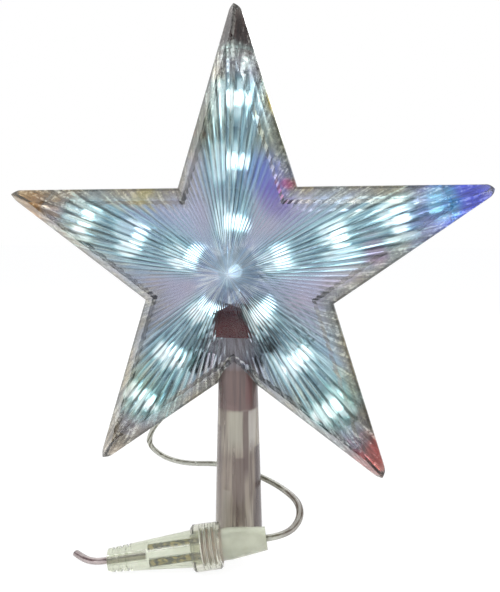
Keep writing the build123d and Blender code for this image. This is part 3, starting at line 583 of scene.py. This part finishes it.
# painted reflections of the room, painted shade on the top arm's edges and painted gold glints
tip_tint = spotted(
    edge_tint,
    (
        (0, 109, 14, 0.9, "#52362e"),
        (-0.5, 101, 5.5, 0.9, "#3a1614"),
        (0, 94, 5, 0.9, "#d6f0ea"),
        (0, 87, 5, 0.7, "#4c5258"),
        (104, 33, 29, 0.92, "#6072f0"),
        (88, 30, 9, 0.8, "#92dcf6"),
        (76, 24, 7, 0.5, "#8f9fe0"),
        (64, -84, 12, 0.7, "#d4645a"),
        (72, -98, 8, 0.75, "#c0a8b0"),
        (-108, 34, 14, 0.85, "#d2b27c"),
        (-96, 29, 8, 0.55, "#d09a44"),
        (-68, -94, 16, 0.8, "#decfbc"),
        (-58, -52, 12, 0.8, "#b7a683"),
        (-64, -74, 12, 0.8, "#b7a683"),
        (-80, 11, 11, 0.7, "#b0a488"),
        (84, 14, 11, 0.5, "#7f8cba"),
        (-43, 34, 6, 0.6, "#cdbb58"),
        (-18, 64, 14, 0.75, "#666c58"),
        (20, 58, 13, 0.75, "#666c58"),
        (17, 74, 6, 0.5, "#cbb760"),
        (23.5, 38.5, 3, 0.8, "#b82c62"),
        (62, 9, 7, 0.5, "#9a6090"),
        (-20, 62, 2.5, 0.85, "#a86018"),
    ),
)
print("border and tips", len(tree.nodes), "nodes")

# %% [markdown]
# Rays cut the tips into dark and pale stripes, painted shade and painted glints, and their ends are
# painted paler. The grooves come last, as dark lines of painted shade. They are drawn on the front shell
# mainly: a line on the rear shell is seen through the front one's ribs, and only greys the picture. The
# brightest cells of the border and the tips, and the tips' ends, also give a little light of their own,
# which stands for the sparkle of the lamps in them.

# %% Lines and glints
# painted shade in dark stripes, painted glints in pale cells, and painted paler ends that also glow
tip_zone = node(tree, RANGE, {0: reach, 1: 78.0, 2: 92.0}, **SOFT)
tip_dark = node(tree, RANGE, {0: ray_pale, 1: 0.5, 2: 0.0, 3: 0.0, 4: 0.6})
tip_shade = node(tree, MATH, {0: tip_dark, 1: tip_zone}, operation="MULTIPLY")
tip_shaded = node(tree, MIX, {0: tip_shade, 6: tip_tint, 7: linear("#2b2a2c")}, **COLOUR)
tip_cell = node(tree, RANGE, {0: facet_ray, 1: 0.58, 2: 0.72, 3: 0.0, 4: 0.45})
tip_middle = node(tree, RANGE, {0: reach, 1: 112.0, 2: 98.0})
cell_zone = node(tree, MATH, {0: tip_zone, 1: tip_middle}, operation="MULTIPLY")
tip_light = node(tree, MATH, {0: tip_cell, 1: cell_zone}, operation="MULTIPLY")
tip_lit = node(tree, MIX, {0: tip_light, 6: tip_shaded, 7: linear("#dcebec")}, **COLOUR)
tip_end = node(tree, RANGE, {0: reach, 1: 106.0, 2: 118.0, 3: 0.0, 4: 0.3}, **SOFT)
tint = node(tree, MIX, {0: tip_end, 6: tip_lit, 7: linear("#dedbd8")}, **COLOUR)
band_lines = node(tree, RANGE, {0: band, 1: 0.0, 2: 1.0, 3: 0.2, 4: 1.0})
line_share = node(tree, MATH, {0: groove_shade_line, 1: band_lines}, operation="MULTIPLY")
line_front = node(tree, RANGE, {0: depth, 1: -0.1 * MM, 2: 0.1 * MM, 3: 0.9, 4: 0.15})
line_seen = node(tree, MATH, {0: line_share, 1: line_front}, operation="MULTIPLY")
# painted shade in the grooves, mostly on the front shell
groove_shaded_tint = node(tree, MIX, {0: line_seen, 6: tint, 7: linear("#0e1a1e")}, **COLOUR)
face_tint = node(tree, MIX, {0: outer, 6: linear("#f4f6f8"), 7: groove_shaded_tint}, **COLOUR)
glint_chance = node(tree, RANGE, {0: facet_ray, 1: 0.66, 2: 0.8, 3: 0.0, 4: 0.3})
glint_zone = node(tree, MATH, {0: border, 1: cell_zone}, operation="MAXIMUM")
glint_spread = node(tree, MATH, {0: glint_chance, 1: glint_zone}, operation="MULTIPLY")
glint_lit = node(tree, MATH, {0: tip_end, 1: 0.5, 2: glint_spread}, operation="MULTIPLY_ADD")
glint_outer = node(tree, MATH, {0: glint_lit, 1: outer}, operation="MULTIPLY")
glint_glow = node(tree, MATH, {0: glint_outer, 1: before, 2: glow}, operation="MULTIPLY_ADD")
glint_tint = node(tree, MIX, {0: 0.45, 6: tip_tint, 7: linear("#f2f4ea")}, **COLOUR)
lamp_share = node(tree, RANGE, {0: light, 1: 0.0, 2: 0.15})
leaving_tint = node(tree, MIX, {0: lamp_share, 6: glint_tint, 7: glow_tint}, **COLOUR)
print("lines and glints", len(tree.nodes), "nodes")

# %% [markdown]
# The shader is a clear plastic with a low gloss: a grey specular tint takes back the white reflection that
# each of the many faces would add. Where the dark plug shows, below the middle, the face is smooth and the
# plug is crisp. Elsewhere between the arms it is a little rough, which softens what is behind.

# %% Shell shader
window_away = node(tree, VECTOR, {0: flat, 1: (0, 0, -28)}, out="Value", operation="DISTANCE")
window_rough = node(tree, RANGE, {0: window_away, 1: 14.0, 2: 24.0, 3: 0.03, 4: 0.2})
shell_rough = node(tree, MIX, {0: band, 2: window_rough, 3: 0.07})
shell_skin = node(
    tree,
    SKIN,
    {
        "Base Color": face_tint,
        "Roughness": shell_rough,
        "IOR": 1.42,
        "Specular Tint": linear("#969696"),
        "Transmission Weight": 0.97,
        "Emission Color": leaving_tint,
        "Emission Strength": glint_glow,
    },
)
node(tree, SURFACE, {"Surface": shell_skin})
for name in ("front_shell", "rear_shell"):
    nodes[name].material_slots[0].material = shell_plastic
print("shells dressed with", shell_plastic.name)

# %% [markdown]
# ## Stem
# The stem is a tapered tube of smoked clear plastic. Its wall shows long streaks from the moulding,
# and its colour changes with height, because the bore stops part of the way up and the tube is filled
# above that. A colour ramp over the height carries those zones, and noise stretched along Z the streaks.

# %% Stem
stem_top = 103.0
stem_plastic, tree = new_finish("smoked_clear_polystyrene")
place = node(tree, PLACE, out="Object")
height = node(tree, AXES, {0: place}, out="Z")
height_share = node(tree, MATH, {0: height, 1: 1 / (stem_top * MM)}, operation="MULTIPLY")
zones = tree.nodes.new("ShaderNodeValToRGB")
tree.links.new(height_share, zones.inputs[0])
for stop, (share, hex_colour) in enumerate(
    (
        (0.00, "#e6e2d2"),
        (0.14, "#dad1c2"),
        (0.28, "#c6b9ab"),
        (0.44, "#b6a89b"),
        (0.50, "#d0c6b6"),
        (0.65, "#ccc1b1"),
        (0.67, "#907874"),
        (0.84, "#927c78"),
        (0.88, "#bdb7c0"),
        (1.00, "#c6c2cc"),
    )
):
    mark = zones.color_ramp.elements[stop] if stop < 2 else zones.color_ramp.elements.new(share)
    mark.position = share
    mark.color = linear(hex_colour)
streak_width, streak_length = 1.6 * MM, 30 * MM
streak_scale = (1 / streak_width, 1 / streak_width, 1 / streak_length)
streak_place = node(tree, VECTOR, {0: place, 1: streak_scale}, operation="MULTIPLY")
streak = node(tree, NOISE, {"Vector": streak_place, "Scale": 1.0, "Detail": 3.0})
streak_share = node(tree, RANGE, {0: streak, 1: 0.42, 2: 0.62, 3: 0.0, 4: 0.6})
stem_tint = node(tree, MIX, {0: streak_share, 6: zones.outputs[0], 7: linear("#6e5f5e")}, **COLOUR)
print("stem zones", len(tree.nodes), "nodes")

# %% [markdown]
# Long upright stripes show paler or darker than the rest of the stem. Each is a soft upright stripe,
# given by its millimetres right of the axis, its half width, its lowest and highest point, its share and
# its colour. The streaks move its sides a little.

# %% Stem stripes
side_stray = 1.2
stem_side = node(tree, AXES, {0: place}, out="X")
side_ragged = node(tree, MATH, {0: streak, 1: side_stray * MM, 2: stem_side}, operation="MULTIPLY_ADD")
for stripe_side, half_width, low, high, share, hex_colour in (
    (0.6, 3.4, 51, 68, 0.75, "#d3d0c0"),
    (5.2, 1.2, 37, 68, 0.7, "#6d5657"),
    (7.6, 1.3, 51, 68, 0.85, "#efeae2"),
    (6.4, 1.4, 70, 92, 0.6, "#94605f"),
    (2.6, 2.2, 12, 46, 0.6, "#73605e"),
    (-3.6, 2.0, 8, 30, 0.7, "#cfc8bb"),
    (-8.0, 1.6, 12, 60, 0.5, "#7d6d6b"),
    (10.6, 1.8, 6, 50, 0.8, "#5c4c50"),
):
    stripe_middle = (stripe_side + side_stray / 2) * MM
    side_away = node(tree, MATH, {0: side_ragged, 1: stripe_middle}, operation="SUBTRACT")
    side_gap = node(tree, MATH, {0: side_away}, operation="ABSOLUTE")
    across_part = node(tree, RANGE, {0: side_gap, 1: 1.2 * half_width * MM, 2: 0.7 * half_width * MM})
    above = node(tree, RANGE, {0: height, 1: (low - 4) * MM, 2: (low + 4) * MM})
    below = node(tree, RANGE, {0: height, 1: (high + 0.5) * MM, 2: (high - 0.5) * MM})
    upright = node(tree, MATH, {0: above, 1: below}, operation="MULTIPLY")
    stripe = node(tree, MATH, {0: upright, 1: across_part}, operation="MULTIPLY")
    stripe_share = node(tree, MATH, {0: stripe, 1: share}, operation="MULTIPLY")
    stem_tint = node(tree, MIX, {0: stripe_share, 6: stem_tint, 7: linear(hex_colour)}, **COLOUR)
stem_rough = node(tree, RANGE, {0: streak, 1: 0.3, 2: 0.7, 3: 0.12, 4: 0.28})
stem_bump = node(tree, "ShaderNodeBump", {"Height": streak, "Strength": 0.25, "Distance": 0.15 * MM})
stem_skin = node(
    tree,
    SKIN,
    {
        "Base Color": stem_tint,
        "Roughness": stem_rough,
        "IOR": 1.58,
        "Transmission Weight": 0.45,
        "Normal": stem_bump,
    },
)
node(tree, SURFACE, {"Surface": stem_skin})
nodes["stem_tube"].material_slots[0].material = stem_plastic
print("stem dressed with", stem_plastic.name)

# %% [markdown]
# ## Moulded pieces and metal
# The other pieces are small, and most are seen through the shells. They share one recipe: a colour that
# wanders between two tones at the size of the moulding's flow marks, a roughness that goes with the grit
# of the skin, and a fine bump for it. Metals differ only in being metallic, and the dark plug has little
# gloss. The lamps' bases, board and carrier are white or pale, because the ribs would spread a dark piece
# over a wide ring.


# %% Plain finishes
def plain_finish(name, dark, pale, flow, rough, grit, **sockets):
    """Two tones mixed by noise of flow mm, a roughness near rough, and a bump of grit mm."""
    material, tree = new_finish(name)
    place = node(tree, PLACE, out="Object")
    flow_noise = node(tree, NOISE, {"Vector": place, "Scale": 1 / (flow * MM), "Detail": 3.0})
    grit_noise = node(tree, NOISE, {"Vector": place, "Scale": 1 / (grit * MM), "Detail": 2.0})
    flow_share = node(tree, RANGE, {0: flow_noise, 1: 0.35, 2: 0.65})
    tone = node(tree, MIX, {0: flow_share, 6: linear(dark), 7: linear(pale)}, **COLOUR)
    roughness = node(tree, RANGE, {0: grit_noise, 1: 0.3, 2: 0.7, 3: 0.8 * rough, 4: 1.2 * rough})
    bump = node(tree, "ShaderNodeBump", {"Height": grit_noise, "Strength": 0.3, "Distance": 0.1 * MM})
    skin = node(
        tree,
        SKIN,
        {"Base Color": tone, "Roughness": roughness, "Normal": bump, **sockets},
    )
    node(tree, SURFACE, {"Surface": skin})
    return material


low_gloss = {"Specular IOR Level": 0.05}
for finish, node_names in (
    (plain_finish("pale_polystyrene", "#ccd9e2", "#e6eef2", 9, 0.35, 0.8), ["lamp_carrier"]),
    (plain_finish("white_nylon", "#dfe8f0", "#f2f6fa", 3, 0.4, 0.6), ["lamp_bases"]),
    (plain_finish("tinned_copper", "#a9aaa8", "#d2d3d0", 1, 0.25, 0.4, Metallic=1.0), ["lamp_legs"]),
    (plain_finish("white_masked_laminate", "#d3dbe4", "#e9eef3", 2, 0.4, 0.5), ["hub_board"]),
    (plain_finish("resistor_lacquer", "#b9935a", "#d8b982", 1, 0.3, 0.4), ["series_resistor"]),
    (plain_finish("thin_vinyl_sheath", "#9fb4b4", "#c6d2cf", 4, 0.35, 0.5), ["string_wires", "core_wires"]),
    (plain_finish("maroon_nylon", "#4c0206", "#5e050a", 5, 0.6, 0.7, **low_gloss), ["stem_plug"]),
    (plain_finish("zinc_plated_steel", "#8f9192", "#bcbec0", 1, 0.3, 0.3, Metallic=1.0), ["stem_screws"]),
    (plain_finish("black_shrink_tube", "#0c0c0e", "#1d1d20", 2, 0.5, 0.5), ["splice_sleeves"]),
    (plain_finish("black_soft_vinyl", "#101013", "#232327", 3, 0.45, 0.6), ["cord_grommet"]),
    (plain_finish("plated_brass", "#3a2f1a", "#b7a26a", 0.9, 0.28, 0.3, Metallic=1.0), ["plug_pins"]),
    (plain_finish("pale_silicone", "#c9c9c0", "#dedfd8", 2, 0.4, 0.4), ["seal_ring"]),
):
    for name in node_names:
        nodes[name].material_slots[0].material = finish
    print(finish.name, "on", ", ".join(node_names))

# %% [markdown]
# ## Connector
# The two halves of the connector and the collar that screws them together are moulded in a milky, almost
# clear plastic, faintly green. The metal contacts show through the loose half as dark lines, and the
# pinkish thread of the other half shows through the collar. The finish follows the connector's own axis,
# which is the axis of the collar's joint, so its place and direction are read from the record.

# %% Connector
collar_joint = [j for j in frame["record"]["behaviour"]["joints"] if j["name"] == "collar_turn"][0]
thread_pitch = 2.5
thread_length = 9.0


def connector_run(tree, place):
    """Millimetres along the connector's axis from its joint, towards the loose half's tail."""
    from_face = node(tree, VECTOR, {0: place, 1: collar_joint["pos_m"]}, operation="SUBTRACT")
    axis = collar_joint["axis"]
    axis_run = node(tree, VECTOR, {0: from_face, 1: axis}, out="Value", operation="DOT_PRODUCT")
    return node(tree, MATH, {0: axis_run, 1: 1 / MM}, operation="MULTIPLY")


for node_name, finish_name, pale_hex, thread_hex, thread_share, clear, rough in (
    ("plug_body", "milky_plug_vinyl", "#eaeddb", "#b48078", 0.9, 0.55, 0.2),
    ("socket_body", "milky_socket_vinyl", "#e4e8d6", "#c9cdb6", 0.0, 0.88, 0.1),
    ("screw_collar", "clear_collar_plastic", "#ecebdf", "#c8b4a8", 0.0, 0.92, 0.08),
):
    milky, tree = new_finish(finish_name)
    place = node(tree, PLACE, out="Object")
    axis_mm = connector_run(tree, place)
    thread_turn = node(tree, MATH, {0: axis_mm, 1: 2 * math.pi / thread_pitch}, operation="MULTIPLY")
    thread_wave = node(tree, MATH, {0: thread_turn}, operation="COSINE")
    thread_line = node(tree, RANGE, {0: thread_wave, 1: -0.2, 2: 0.6, 3: 0.35, 4: 1.0})
    thread_zone = node(tree, RANGE, {0: axis_mm, 1: -thread_length - 0.3, 2: 0.3 - thread_length})
    thread_tint = node(tree, MATH, {0: thread_zone, 1: thread_line}, operation="MULTIPLY")
    thread_part = node(tree, MATH, {0: thread_tint, 1: thread_share}, operation="MULTIPLY")
    flow_noise = node(tree, NOISE, {"Vector": place, "Scale": 1 / (6 * MM), "Detail": 3.0})
    flow_share = node(tree, RANGE, {0: flow_noise, 1: 0.35, 2: 0.65, 3: 0.0, 4: 0.5})
    milk = node(tree, MIX, {0: flow_share, 6: linear(pale_hex), 7: linear("#c6cbb4")}, **COLOUR)
    tone = node(tree, MIX, {0: thread_part, 6: milk, 7: linear(thread_hex)}, **COLOUR)
    roughness = node(tree, RANGE, {0: flow_noise, 1: 0.3, 2: 0.7, 3: 0.7 * rough, 4: 1.3 * rough})
    skin = node(
        tree,
        SKIN,
        {"Base Color": tone, "Roughness": roughness, "IOR": 1.45, "Transmission Weight": clear},
    )
    node(tree, SURFACE, {"Surface": skin})
    nodes[node_name].material_slots[0].material = milky
    print(node_name, "dressed with", finish_name)

# %% [markdown]
# The contacts of the loose half are brass sleeves, rolled from strip and crimped round the ends of the
# cores. They show through the plastic as dark brown streaks with gold ones between, part the brass's own
# colour and part painted reflection along the rolled metal, and faint rings at the crimps. Noise drawn
# out along X, which is nearly the connector's axis, gives the streaks, and a wave along that axis gives
# the crimps.

# %% Contacts
crimp_pitch = 3.2
contact_brass, tree = new_finish("crimped_brass")
place = node(tree, PLACE, out="Object")
sheen_streak_width, sheen_streak_length = 0.9 * MM, 4.5 * MM
sheen_streak_scale = (1 / sheen_streak_length, 1 / sheen_streak_width, 1 / sheen_streak_width)
sheen_streak_place = node(tree, VECTOR, {0: place, 1: sheen_streak_scale}, operation="MULTIPLY")
sheen_streak = node(tree, NOISE, {"Vector": sheen_streak_place, "Scale": 1.0, "Detail": 3.0})
contact_run = connector_run(tree, place)
crimp_turn = node(tree, MATH, {0: contact_run, 1: 2 * math.pi / crimp_pitch}, operation="MULTIPLY")
crimp_wave = node(tree, MATH, {0: crimp_turn}, operation="COSINE")
crimp_soft = node(tree, MATH, {0: crimp_wave, 1: 0.06, 2: sheen_streak}, operation="MULTIPLY_ADD")
crimp_share = node(tree, RANGE, {0: crimp_soft, 1: 0.42, 2: 0.6}, **SOFT)
# painted reflection: dark brown and gold streaks along the sleeves
contact_tone = node(tree, MIX, {0: crimp_share, 6: linear("#241a0c"), 7: linear("#c4ad76")}, **COLOUR)
contact_rough = node(tree, RANGE, {0: sheen_streak, 1: 0.3, 2: 0.7, 3: 0.2, 4: 0.4})
contact_skin = node(
    tree,
    SKIN,
    {"Base Color": contact_tone, "Roughness": contact_rough, "Metallic": 1.0},
)
node(tree, SURFACE, {"Surface": contact_skin})
nodes["socket_contacts"].material_slots[0].material = contact_brass
print("contacts dressed with", contact_brass.name)

# %% [markdown]
# ## Lamps
# Each lamp is a clear epoxy dome with a chip at its foot, and it is lit. Its light is given as the dome's
# own, strongest over the chip and fading towards the dome's ends along the arm, so that the patch that
# shows through the ribs has soft ends. The lamp in the middle is weaker, because nothing spreads its light.

# %% Lamps
lens_first, lens_step = 22.0, 27.04
lens_cloud_size = 3.0
lamp_epoxy, tree = new_finish("clear_epoxy_lit")
place, _, _, _, reach, _, along = star_signals(tree)
cloud = node(tree, NOISE, {"Vector": place, "Scale": 1 / (lens_cloud_size * MM), "Detail": 2.0})
lamp_tone = node(tree, MIX, {0: cloud, 6: linear("#bdeaf2"), 7: linear("#ffffff")}, **COLOUR)
lens_run = node(tree, MATH, {0: along, 1: lens_first}, operation="SUBTRACT")
lens_wrapped = node(tree, MATH, {0: lens_run, 1: lens_step / 2, 2: -lens_step / 2}, operation="WRAP")
lens_away = node(tree, MATH, {0: lens_wrapped}, operation="ABSOLUTE")
lens_cloud = node(tree, MATH, {0: cloud, 1: 2.0, 2: lens_away}, operation="MULTIPLY_ADD")
lens_power = node(tree, RANGE, {0: lens_cloud, 1: 5.2, 2: 2.0, 3: 0.5, 4: 5.0}, **SOFT)
middle_power = node(tree, RANGE, {0: reach, 1: 4.0, 2: 1.0, 3: 0.0, 4: 0.7}, **SOFT)
lamp_power = node(tree, MATH, {0: lens_power, 1: middle_power}, operation="MAXIMUM")
lamp_skin = node(
    tree,
    SKIN,
    {
        "Base Color": lamp_tone,
        "Roughness": 0.12,
        "IOR": 1.53,
        "Emission Color": lamp_tone,
        "Emission Strength": lamp_power,
    },
)
node(tree, SURFACE, {"Surface": lamp_skin})
nodes["lamp_lenses"].material_slots[0].material = lamp_epoxy
print("lamps dressed with", lamp_epoxy.name)

# %% [markdown]
# ## Cord vinyl
# The cord's sheath is clear vinyl over two cores of fine strands. Seen through the round sheath, each core
# shows as a pale line, partly the core itself and partly a painted highlight, with dark lines of painted
# shade beside it, so a wave with four crests in a turn of the cord is drawn: from every side two pale
# lines are seen. Noise drawn out along the cord breaks the lines, as the lay of the strands does. Towards
# its far end each cord is a little browner, as in the photograph.

# %% Cord vinyl
strand_lay = 4.0
lines_round = 4
for cord, finish_name, waist_shade_hex, core_highlight_hex, shade_start, shade_end in (
    (lead_cord, "clear_cord_vinyl", "#6f6c58", "#deded2", 190, 221),
    (tail_cord, "clear_tail_vinyl", "#5c3f42", "#decfcc", 33, 39),
):
    vinyl, tree = new_finish(finish_name)
    run = node(tree, "ShaderNodeUVMap", uv_map="along_and_round")
    length_run = node(tree, AXES, {0: run}, out="X")
    round_turn = node(tree, AXES, {0: run}, out="Y")
    line_turn = node(tree, MATH, {0: round_turn, 1: 2 * math.pi * lines_round}, operation="MULTIPLY")
    core_highlight_wave = node(tree, MATH, {0: line_turn}, operation="COSINE")
    lay_run = node(tree, MATH, {0: length_run, 1: 1 / strand_lay}, operation="MULTIPLY")
    lay_turn = node(tree, MATH, {0: round_turn, 1: 5.0}, operation="MULTIPLY")
    lay_place = node(tree, "ShaderNodeCombineXYZ", {"X": lay_run, "Y": lay_turn})
    lay_noise = node(tree, NOISE, {"Vector": lay_place, "Scale": 1.0, "Detail": 2.0})
    wave_soft = node(tree, MATH, {0: lay_noise, 1: 3.0, 2: core_highlight_wave}, operation="MULTIPLY_ADD")
    core_highlight_share = node(tree, RANGE, {0: wave_soft, 1: 0.4, 2: 1.6}, **SOFT)
    # painted highlight on the pale lines and painted shade on the dark lines beside them
    sheath_tone = node(tree, MIX, {0: core_highlight_share, 6: linear(waist_shade_hex), 7: linear(core_highlight_hex)}, **COLOUR)
    shade_rise = node(tree, RANGE, {0: length_run, 1: shade_start - 5, 2: shade_start + 5, 3: 0.0, 4: 0.45})
    shade_fall = node(tree, RANGE, {0: length_run, 1: shade_end + 3, 2: shade_end - 3})
    shade = node(tree, MATH, {0: shade_rise, 1: shade_fall}, operation="MULTIPLY")
    sheath_tint = node(tree, MIX, {0: shade, 6: sheath_tone, 7: linear("#6f5a5c")}, **COLOUR)
    vinyl_rough = node(tree, RANGE, {0: lay_noise, 1: 0.3, 2: 0.7, 3: 0.15, 4: 0.3})
    sheath_skin = node(
        tree,
        SKIN,
        {"Base Color": sheath_tint, "Roughness": vinyl_rough, "IOR": 1.5, "Transmission Weight": 0.35},
    )
    node(tree, SURFACE, {"Surface": sheath_skin})
    cord.data.materials.append(vinyl)
print("cords dressed")
